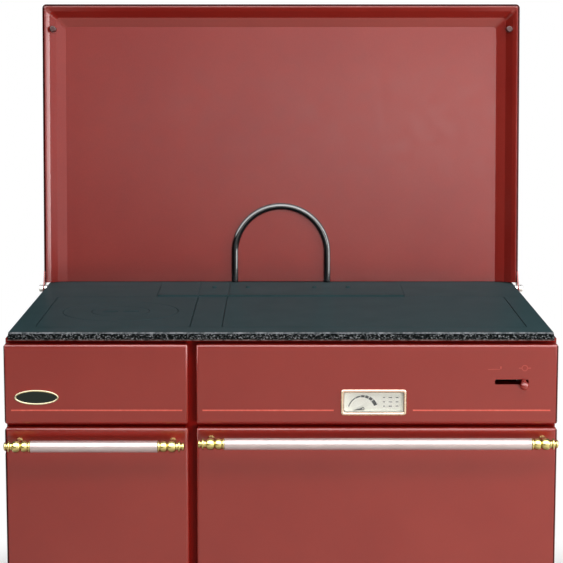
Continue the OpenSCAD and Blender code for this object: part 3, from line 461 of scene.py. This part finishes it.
# %% Lid section
LEAN = radians(4)
LIP_R = 6
lid_joint = next(joint for joint in frame["joints"] if joint["name"] == "lid_hinge")
to_lid = Matrix.Rotation(LEAN, 4, "X") @ Matrix.Translation(-Vector(lid_joint["pos_m"]))
from_lid = to_lid.inverted()
rim_points = [to_lid @ v.co for v in frame["nodes"]["lid_rim"].data.vertices]
skin_points = [to_lid @ v.co for v in frame["nodes"]["lid_panel"].data.vertices]
lip = min(point.y for point in rim_points) / MM
rim_low = min(point.z for point in rim_points) / MM
lid_top = max(point.z for point in skin_points) / MM
lid_side = max(point.x for point in skin_points) / MM
lip_arc = [(LIP_R * (1 - cos(radians(a))), LIP_R * (1 - sin(radians(a)))) for a in range(0, 91, 10)]
slopes = [(7.6, 0.3), (8.4, 0.6), (9.0, 0.95), (16.0, 5.8), (29.7, 22.2), (51.0, 30.1), (53.0, 30.15)]
section = lip_arc + slopes
print("lid half width:", round(lid_side, 2), "height:", round(lid_top, 2), "points:", len(section))

# %% [markdown]
# ## The lid's rim
# The rim could be cut from strips, but then its corners would have to be mitred one by one. Here a plain face as
# large as the lid gets rounded corners, and is then extruded again and again, each time scaled a little smaller
# and moved a little deeper. That lays the whole rim round the lid's outline. The face reaches far below the
# hinge, so that its lower edge can be cut off straight where the rim ends. The face in the middle is taken out,
# because the CAD's panel lies there, and one more extrusion gives the sheet its thickness. The outermost strip
# of the lip gets a near-black red: painted shade where the lip turns away from the light.

# %% Lid rim
BELOW = 200
INSIDE = 0.1
SHEET = 1.2
DARK_LIP = 5.4
half_wide, half_high = lid_side - INSIDE, (lid_top + BELOW) / 2 - INSIDE
lid_middle = Vector((0, 0, (lid_top - BELOW) / 2 * MM))

rim_bm = bmesh.new()
bmesh.ops.create_grid(rim_bm, x_segments=1, y_segments=1, size=1,
                      matrix=Matrix.Translation(lid_middle + Vector((0, (lip + LIP_R) * MM, 0)))
                      @ Matrix.Diagonal((half_wide * MM, 1, half_high * MM, 1)) @ Matrix.Rotation(pi / 2, 4, "X"))
bmesh.ops.bevel(rim_bm, geom=[v for v in rim_bm.verts if v.co.z > 0], offset=9 * MM, offset_type="OFFSET",
                affect="VERTICES", segments=12, profile=0.5, material=-1)
middle_face = max(rim_bm.faces, key=lambda face: face.calc_area())
for (inset, deep), (next_inset, next_deep) in zip(section, section[1:]):
    middle_face = bmesh.ops.extrude_discrete_faces(rim_bm, faces=[middle_face])["faces"][0]
    ring = middle_face.verts[:]
    wide = (half_wide - next_inset) / (half_wide - inset)
    high = (half_high - next_inset) / (half_high - inset)
    bmesh.ops.scale(rim_bm, verts=ring, space=Matrix.Translation(-lid_middle), vec=(wide, 1, high))
    bmesh.ops.translate(rim_bm, verts=ring, vec=(0, (next_deep - deep) * MM, 0))
bmesh.ops.delete(rim_bm, geom=[middle_face], context="FACES_ONLY")
bmesh.ops.bisect_plane(rim_bm, geom=rim_bm.verts[:] + rim_bm.edges[:] + rim_bm.faces[:], dist=1e-6,
                       plane_co=(0, 0, rim_low * MM), plane_no=(0, 0, 1), clear_inner=True)
back = bmesh.ops.extrude_face_region(rim_bm, geom=rim_bm.faces[:], use_keep_orig=True)["geom"]
bmesh.ops.translate(rim_bm, verts=[v for v in back if isinstance(v, bmesh.types.BMVert)], vec=(0, SHEET * MM, 0))
bmesh.ops.transform(rim_bm, matrix=from_lid, verts=rim_bm.verts)
made = piece("lid_rim_rolled", rim_bm, "lid", "red_enamel", sharp=12)


def lip_edge(middle):
    at = to_lid @ middle
    return min(lid_side * MM - abs(at.x), lid_top * MM - at.z) < DARK_LIP * MM


# The lip's outermost strip gets painted shade.
paint_edge_shade(made, lip_edge)
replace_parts(made, "lid_rim")
print("lid rim:", [[round(f(v.co[i] for v in made.data.vertices), 4) for i in range(3)] for f in (min, max)])

# %% [markdown]
# ## The lid's panel
# The outer skin and the flat panel stay the CAD's own, but the skin's front edge is drawn back a little, so that
# the rolled lip covers it. A cut just above the rim's lower end lets the ears at the hinges keep their shape.

# %% Lid panel
EARS = 28
DRAWN_BACK = LIP_R - 0.4
cut_z = (rim_low + EARS) * MM
turn_back = from_lid.to_3x3()
lid_bm = merged("lid_panel")
bmesh.ops.bisect_plane(lid_bm, geom=lid_bm.verts[:] + lid_bm.edges[:] + lid_bm.faces[:], dist=1e-6,
                       plane_co=from_lid @ Vector((0, 0, cut_z)), plane_no=turn_back @ Vector((0, 0, 1)))
on_lip = [v for v in lid_bm.verts
          if abs((to_lid @ v.co).y - lip * MM) < 0.05 * MM and (to_lid @ v.co).z > cut_z - 0.1 * MM]
bmesh.ops.translate(lid_bm, verts=on_lip, vec=turn_back @ Vector((0, DRAWN_BACK * MM, 0)))
bmesh.ops.dissolve_limit(lid_bm, angle_limit=radians(0.5), verts=lid_bm.verts, edges=lid_bm.edges)
made = piece("lid_panel_soft", lid_bm, "lid", "red_enamel")
flatten(made)
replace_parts(made, "lid_panel")
print("lip points drawn back:", len(on_lip))

# %% [markdown]
# ## Turned pieces
# Knobs, finials and rail ends are turned on a lathe, so they are spun here: an outline of points, each a
# distance along the axle and a radius, is laid as a chain of edges and spun once round. The outline starts
# and ends on the axle, so the piece is closed. `bulge` gives the points of a barrel or a ball.

# %% Turning
def turn(bm, outline, axle, origin, steps=40):
    """Spin an outline of (distance, radius) in mm about an axle through a point in mm."""
    axle = Vector(axle).normalized()
    side = axle.orthogonal().normalized()
    origin = Vector(origin) * MM
    points = [bm.verts.new(origin + axle * s * MM + side * r * MM) for s, r in outline]
    chain = [bm.edges.new(pair) for pair in zip(points, points[1:])]
    bmesh.ops.spin(bm, geom=points + chain, cent=origin, axis=axle, angle=2 * pi, steps=steps,
                   use_merge=True, use_duplicate=False)
    bmesh.ops.remove_doubles(bm, verts=bm.verts, dist=1e-6)


def bulge(centre, half, low, high, start=-90, end=90, steps=10):
    """Points of a rounded swelling about a place on the axle, from radius low at its sides to radius high."""
    angles = [radians(start + (end - start) * i / steps) for i in range(steps + 1)]
    return [(centre + half * sin(a), low + (high - low) * cos(a)) for a in angles]


print("turning ready")

# %% [markdown]
# ## Rail ends
# Each steel rail ends in a turned brass piece: a ring at the tube, a bulb, a ball, a second ring, a thin neck
# and a domed finial, all about as thick as the tube. A slim post with a small foot runs from the ball back
# to the door.

# %% Rail ends
RAIL_R = 11.5
POST_AT = 28.0


def rail_end(bm, end, side, door_y):
    """One rail end from the tube's end (mm), along +X or -X."""
    r = RAIL_R
    outline = [(0, 0), (0, r - 1)] + bulge(2.3, 1.5, r - 0.6, r + 0.5, steps=6) + [(4.4, r - 2.6)]
    outline += bulge(11.8, 6.4, 0.76 * r, r) + [(19.4, 0.66 * r)]
    outline += bulge(POST_AT, 7.9, 0.70 * r, 12) + [(36.4, 0.66 * r), (39.8, 0.66 * r)]
    outline += bulge(42.6, 1.9, r - 1.6, r, steps=6) + [(45.3, 0.54 * r), (46.8, 0.5 * r)]
    outline += bulge(49.6, 2.2, 0.5 * r, 0.75 * r, steps=6)[:4] + bulge(49.6, 3.9, 0, 0.75 * r, 0, 90, 6)[1:]
    turn(bm, outline, (side, 0, 0), end)
    reach = door_y - end.y
    post = [(0, 0), (0, 4.2), (reach - 8, 4.2), (reach - 5, 4.8), (reach - 3, 6.2), (reach - 1.8, 6.7)]
    turn(bm, post + [(reach, 6.7), (reach, 0)], (0, 1, 0), end + Vector((side * POST_AT, 0, 0)), 28)


for door in ("fire", "oven"):
    low, high = corners(door + "_rail_tube")
    door_y = corners(door + "_door_skin")[0].y
    middle = (low + high) / 2
    bm = bmesh.new()
    for x, side in ((low.x, -1), (high.x, 1)):
        rail_end(bm, Vector((x, middle.y, middle.z)), side, door_y)
    made = piece(door + "_rail_ends_turned", bm, door + "_door", "brass", sharp=50)
    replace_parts(made, door + "_rail_ends")
    print(made.name, len(made.data.polygons))

# %% [markdown]
# ## Door skins and right fascia
# The pressed door skins and the right fascia keep the CAD's rolled edges. Smooth shading over the small arcs
# gives the long soft highlights along their upper edges. At the range's two sides their edges get a near-black
# red, painted shade where they turn away from the light, as those of the other panels do.

# %% Door skins
for node in ("fire_door_skin", "oven_door_skin", "fascia_right"):
    made = soften(node, 0)
    # At the range's sides these edges get painted shade.
    paint_edge_shade(made, outer_edge)
    print(made.name, len(made.data.polygons))

# %% [markdown]
# ## Drawer knobs and damper knob
# The brass drawer knobs are turned with a collar, a waisted stem and a ball. The damper knob is a red ball
# that hangs a little below its rod.

# %% Knobs
KNOB_R = 13
DAMPER_R = 9


def knob_outline(collar):
    """The outline of a drawer knob whose collar begins at a distance from the face it is fixed behind."""
    ring = [(0.0, 8.6), (0.8, 9.1), (2.2, 8.8), (3.2, 6.6), (5.4, 5.0)]
    return ([(0, 0), (0, 5), (collar, 5)] + [(collar + s, r) for s, r in ring]
            + bulge(collar + 20, KNOB_R, 0, KNOB_R, -66, 90, 14))


low, high = corners("ash_knob")
bm = bmesh.new()
turn(bm, knob_outline(7.1), (0, -1, 0), ((low.x + high.x) / 2, high.y, (low.z + high.z) / 2))
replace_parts(piece("ash_knob_turned", bm, "ash_drawer", "brass"), "ash_knob")

low, high = corners("drawer_knobs")
bm = bmesh.new()
for x in (low.x + KNOB_R, high.x - KNOB_R):
    turn(bm, knob_outline(0), (0, -1, 0), (x, high.y, (low.z + high.z) / 2))
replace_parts(piece("drawer_knobs_turned", bm, "storage_drawer", "brass"), "drawer_knobs")

low, high = corners("damper_knob")
bm = bmesh.new()
middle_x = (low.x + high.x) / 2
ball_at = Vector((middle_x, low.y + DAMPER_R, low.z + DAMPER_R))
bmesh.ops.create_uvsphere(bm, u_segments=32, v_segments=20, radius=DAMPER_R * MM,
                          matrix=Matrix.Translation(ball_at * MM))
collar = [(0, 0), (0, 5.4), (0.8, 6.0), (5, 5.4), (DAMPER_R, 4.6), (DAMPER_R, 0)]
turn(bm, collar, (0, -1, 0), (middle_x, high.y, low.z + 14))
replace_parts(piece("damper_knob_turned", bm, "damper", "red_enamel", sharp=50), "damper_knob")
print("knobs turned")

# %% [markdown]
# ## Thermometer
# The bezel is a thin brass frame with a rounded section. The dial is printed: a scale in the form of an arc
# that grows thicker and breaks into blocks towards the hot end, and three rows of short marks beside it. Each
# printed mark is a very thin plate on the dial's face.

# %% Thermometer
SCALE_R = 28
PRINT = 0.2
ink = finish("dial_ink", (0.012, 0.012, 0.013), 0.5)
relief(ink, noise(ink, place(ink), 800, 2), 0.00002, 0.3)
faint_ink = finish("faint_ink", (0.07, 0.07, 0.07), 0.5)
relief(faint_ink, noise(faint_ink, place(faint_ink), 800, 2), 0.00002, 0.3)


def arc(bm, centre, radius, width, start, end, thick=PRINT, steps=8):
    """A flat piece of a ring that faces -Y, from one angle to another, clockwise from the top."""
    out = Matrix.Rotation(radians(start), 3, "Y") @ Vector((0, 0, 1))
    middle = centre + out * radius - Vector((0, thick / 2, 0))
    side = out.cross(Vector((0, 1, 0)))
    where = Matrix((out * width * MM, Vector((0, thick, 0)) * MM, side)).transposed().to_4x4()
    where.translation = middle * MM
    made = bmesh.ops.create_grid(bm, x_segments=1, y_segments=1, size=0.5, matrix=where)["verts"]
    faces = list({f for v in made for f in v.link_faces})
    edges = list({e for v in made for e in v.link_edges})
    bmesh.ops.spin(bm, geom=made + edges + faces, cent=centre * MM, axis=(0, 1, 0), angle=radians(end - start),
                   steps=steps, use_duplicate=False)


soften("thermometer_bezel", 2.3, 4, finish=bezel_brass)
low, high = corners("thermometer_glass")
gauge = (low + high) / 2
dial_y = corners("thermometer_needle")[1].y + 3
scale = Vector((gauge.x - 22, dial_y, gauge.z - 17.5))
bm = bmesh.new()
arc(bm, scale, SCALE_R, 2.0, -75, -30)
arc(bm, scale, SCALE_R, 3.0, -28, -8, steps=5)
for start, end, width in ((-6, 9, 4.4), (11.5, 26, 5.2), (28.5, 43, 6.0), (45.5, 70, 7.0)):
    arc(bm, scale, SCALE_R, width, start, end, steps=4)
piece("dial_scale", bm, "body", "dial_cream", ink)
bm = bmesh.new()
for column, width in ((21, 3.5), (33.5, 6.5), (47, 5.5)):
    for row in (9, 0, -8.5):
        x, z = gauge.x + column, gauge.z + row - 1
        block(bm, (x - width / 2, dial_y - PRINT, z - 0.9), (x + width / 2, dial_y, z + 0.9))
piece("dial_marks", bm, "body", "dial_cream", faint_ink)
print("thermometer done")

# %% [markdown]
# ## Badge
# The oval badge has a polished rim round a dark field, which is left bare. The field is a flat oval that lies
# in the rim, made as a circle and stretched.

# %% Badge
BADGE_RIM = 3
badge_field = finish("badge_field", (0.014, 0.019, 0.015), 0.35, Specular_IOR_Level=0.15)
relief(badge_field, noise(badge_field, place(badge_field), 400, 3), 0.0001, 0.4)
low, high = corners("badge")
middle = (low + high) / 2
wide, tall = (high.x - low.x) / 2 - BADGE_RIM, (high.z - low.z) / 2 - BADGE_RIM
soften("badge", 0.9)
bm = bmesh.new()
bmesh.ops.create_circle(bm, cap_ends=True, segments=64, radius=1,
                        matrix=Matrix.Translation(Vector((middle.x, high.y - 2.2, middle.z)) * MM)
                        @ Matrix.Diagonal((wide * MM, 1, tall * MM, 1))
                        @ Matrix.Rotation(pi / 2, 4, "X"))
piece("badge_field", bm, "body", "badge_metal", badge_field)
print("badge done")

# %% [markdown]
# ## Painted lines
# A thin painted line runs along the front below the badge, in three lengths that stop short of the gap and the
# thermometer. Over the damper's slot a thin line with a tick and a small ring, in a fainter paint, mark its two
# ends. They could be painted into the enamel's material, but then each would need its own mask. Here they are
# very thin blocks that stand out from the enamel by less than the thickness of a card.

# %% Painted lines
def paint(name, colour, thin, thick):
    """A paint that was laid on by hand, thin in places."""
    mat = finish(name, colour, 0.35, Specular_IOR_Level=0.3)
    mottle = noise(mat, place(mat), 120, 3)
    join(mat, ramp(mat, mottle, [(0.3, thin), (0.7, thick)]), shader_of(mat).inputs["Base Color"])
    return mat


COAT = 0.15
LINE_LOW, LINE_HIGH = 691.2, 694.2
line_paint = paint("line_paint", (0.70, 0.13, 0.10), (0.60, 0.09, 0.06), (0.74, 0.15, 0.11))
faint_paint = paint("faint_paint", (0.42, 0.065, 0.050), (0.36, 0.050, 0.036), (0.46, 0.080, 0.062))
front = corners("fascia_right")[0].y
bm = bmesh.new()
for left, right in ((-536, -196), (-156, 105), (262, 535)):
    block(bm, (left, front - COAT, LINE_LOW), (right, front, LINE_HIGH))
piece("painted_lines", bm, "body", "red_enamel", line_paint)
bm = bmesh.new()
for left, low_z, right, high_z in ((410, 774.6, 434, 776.2), (434, 776.2, 437, 781.5),
                                   (471, 777.2, 476.6, 778.8), (489.4, 777.2, 495, 778.8)):
    block(bm, (left, front - COAT, low_z), (right, front, high_z))
arc(bm, Vector((483, front, 778)), 5.5, 1.6, 0, 360, COAT, 24)
piece("damper_signs", bm, "body", "red_enamel", faint_paint)
print("lines painted")

# %% [markdown]
# ## Screws
# The flue cover is held by four screws with low domed heads, and the sheet at the back by two rows of rounder
# ones along its upper and lower edges. A head is turned as a dome with a flat back, which sits on the sheet.

# %% Screws
SCREW_R = 5.0


def screw(bm, place_mm, axle, radius, height):
    dome = [(height * sin(a), radius * cos(a)) for a in (0.35, 0.7, 1.05, 1.35)]
    turn(bm, [(0, 0), (0, radius)] + dome + [(height, 0)], axle, place_mm, 24)


low, high = corners("flue_cover")
bm = bmesh.new()
for x in (-152, -76, 76, 152):
    screw(bm, (x, low.y + 108, high.z), (0, 0, 1), SCREW_R, 1.2)
piece("cover_screws", bm, "body", "hob_iron", sharp=60)
low, high = corners("back_panel")
bm = bmesh.new()
for x in (-500, -250, 0, 250, 500):
    for z in (low.z + 18, high.z - 18):
        screw(bm, (x, high.y, z), (0, 1, 0), SCREW_R, 2.4)
piece("back_screws", bm, "body", "dark_iron", sharp=60)
print("screws done")

# %% [markdown]
# ## Floor
# The photograph is a cut-out on white. The floor is a large disc: near the cooker it is a matt white surface
# that takes the shadow, and further out it fades to plain white for the camera. What gloss sees there is a
# little brighter on the right than on the left, which gives the fascias and the doors their soft veil of light.

# %% Floor
FLOOR_R = 9.0
NEAR, FAR = 0.75, 1.35


def combine(mat, operation, first, second):
    made = add(mat, "Math", operation=operation)
    join(mat, first, made.inputs[0])
    join(mat, second, made.inputs[1])
    return made.outputs[0]


def looked_at(mat):
    """1 for a camera ray, and 1 for any ray by which the camera, gloss or glass looks at a surface."""
    path = add(mat, "LightPath")
    level = path.outputs["Is Camera Ray"]
    for kind in ("Is Glossy Ray", "Is Transmission Ray"):
        level = combine(mat, "MAXIMUM", level, path.outputs[kind])
    return path.outputs["Is Camera Ray"], level


floor_bm = bmesh.new()
bmesh.ops.create_circle(floor_bm, cap_ends=True, segments=96, radius=FLOOR_R)
floor_mesh = bpy.data.meshes.new("floor")
floor_bm.to_mesh(floor_mesh)
floor_bm.free()
floor = bpy.data.objects.new("floor", floor_mesh)
bpy.context.collection.objects.link(floor)

floor_white = finish("floor_white", (0.90, 0.90, 0.90), 0.8, Specular_IOR_Level=0.1)
floor_mesh.materials.append(floor_white)
camera_ray, any_look = looked_at(floor_white)
away = add(floor_white, "VectorMath", operation="LENGTH")
join(floor_white, place(floor_white), away.inputs[0])
fade = span(floor_white, away.outputs["Value"], NEAR, FAR, kind="SMOOTHSTEP")
across = add(floor_white, "SeparateXYZ")
join(floor_white, place(floor_white), across.inputs["Vector"])
brightness = add(floor_white, "Mix", B=1.0)
join(floor_white, camera_ray, brightness.inputs["Factor"])
join(floor_white, span(floor_white, across.outputs["X"], -1.5, 2.0, 0.95, 1.95), brightness.inputs["A"])
tint = add(floor_white, "Mix", data_type="RGBA", A=(1.0, 0.98, 0.88, 1), B=(1, 1, 1, 1))
join(floor_white, camera_ray, tint.inputs["Factor"])
glow = add(floor_white, "Emission")
join(floor_white, tint.outputs["Result"], glow.inputs["Color"])
join(floor_white, brightness.outputs["Result"], glow.inputs["Strength"])
surface = add(floor_white, "MixShader")
join(floor_white, combine(floor_white, "MULTIPLY", fade, any_look), surface.inputs["Fac"])
join(floor_white, shader_of(floor_white).outputs["BSDF"], surface.inputs[1])
join(floor_white, glow.outputs["Emission"], surface.inputs[2])
join(floor_white, surface.outputs["Shader"], floor_white.node_tree.nodes["Material Output"].inputs["Surface"])
print("floor radius:", FLOOR_R)

# %% [markdown]
# ## World
# The world is plain white for the camera. An enamelled sheet takes most of its looks from what it mirrors, so
# for reflections the world is a simple studio: a window in front that is brighter on the right and low down,
# a bright sky far above it, a pale wall on the right and a narrow bright strip beside the camera for the lid's
# left lip. Left, and behind the cooker, the room is dark. All of these are smooth slopes along the axes of the
# view direction. What lights the surfaces themselves is only a weak even level.

# %% World
AMBIENT = 0.14

world = bpy.data.worlds.new("studio")
bpy.context.scene.world = world
world.use_nodes = True
way = add(world, "TexCoord")
split = add(world, "SeparateXYZ")
join(world, way.outputs["Generated"], split.inputs["Vector"])


def slope(axis, start, end, low, high):
    """A level that changes smoothly from low to high between two heights or sides of the view."""
    return span(world, split.outputs[axis], start, end, low, high, "SMOOTHSTEP")


def lit(first, *others):
    """Slopes multiplied with each other, so that light is left only where all of them are bright."""
    for other in others:
        first = combine(world, "MULTIPLY", first, other)
    return first


window = lit(slope("X", -0.22, 0.16, 0.12, 1.0), slope("Z", 0.0, 0.085, 0.03, 1.0),
             slope("X", -0.60, -0.35, 0.0, 1.0), slope("X", 0.30, 0.60, 1.0, 0.1), slope("Z", 0.07, 0.16, 9.0, 0.6))
sky = slope("Z", 0.25, 0.35, 0.0, 8.0)
front_half = lit(combine(world, "MAXIMUM", window, sky), slope("Y", -0.3, 0.0, 1.0, 0.03))
right_wall = lit(slope("X", 0.30, 0.50, 0.0, 1.6), slope("Y", 0.0, 0.12, 1.0, 0.0))
lip_strip = lit(slope("X", 0.76, 0.85, 0.0, 9.0), slope("Y", -0.32, -0.18, 1.0, 0.0))
room = combine(world, "MAXIMUM", combine(world, "MAXIMUM", front_half, right_wall), lip_strip)

camera_ray, any_look = looked_at(world)
seen = add(world, "Mix", B=1.0)
join(world, camera_ray, seen.inputs["Factor"])
join(world, room, seen.inputs["A"])
strength = add(world, "Mix", A=AMBIENT)
join(world, any_look, strength.inputs["Factor"])
join(world, seen.outputs["Result"], strength.inputs["B"])
background = world.node_tree.nodes["Background"]
background.inputs["Color"].default_value = (1, 1, 1, 1)
join(world, strength.outputs["Result"], background.inputs["Strength"])
bpy.context.scene.view_settings.view_transform = "Standard"
print("world level on surfaces:", AMBIENT)

# %% [markdown]
# ## Lamps
# The photograph's shadow band above the rails shows a low lamp in front, a little to the right. It is left out
# of reflections, because the world already holds that window. A wide lamp above fills from the front, and a
# tall one at the right lights the lid's left lip.

# %% Lamps
def soft_box(name, spot, aim, width, height, watts):
    data = bpy.data.lights.new(name, "AREA")
    data.shape = "RECTANGLE"
    data.size, data.size_y, data.energy = width, height, watts
    lamp = bpy.data.objects.new(name, data)
    bpy.context.collection.objects.link(lamp)
    lamp.location = spot
    lamp.rotation_euler = (Vector(aim) - Vector(spot)).to_track_quat("-Z", "Y").to_euler()
    print("lamp", name, "at", spot)
    return lamp


front_lamp = soft_box("front", (1.8, -4.2, 0.70), (0, 0, 0.7), 1.3, 0.4, 80)
front_lamp.visible_glossy = False
soft_box("key", (0.8, -2.6, 3.4), (0, 0, 0.8), 3.0, 0.7, 45)
soft_box("side", (2.3, -0.80, 1.4), (-0.55, 0.27, 1.2), 0.5, 1.5, 22)
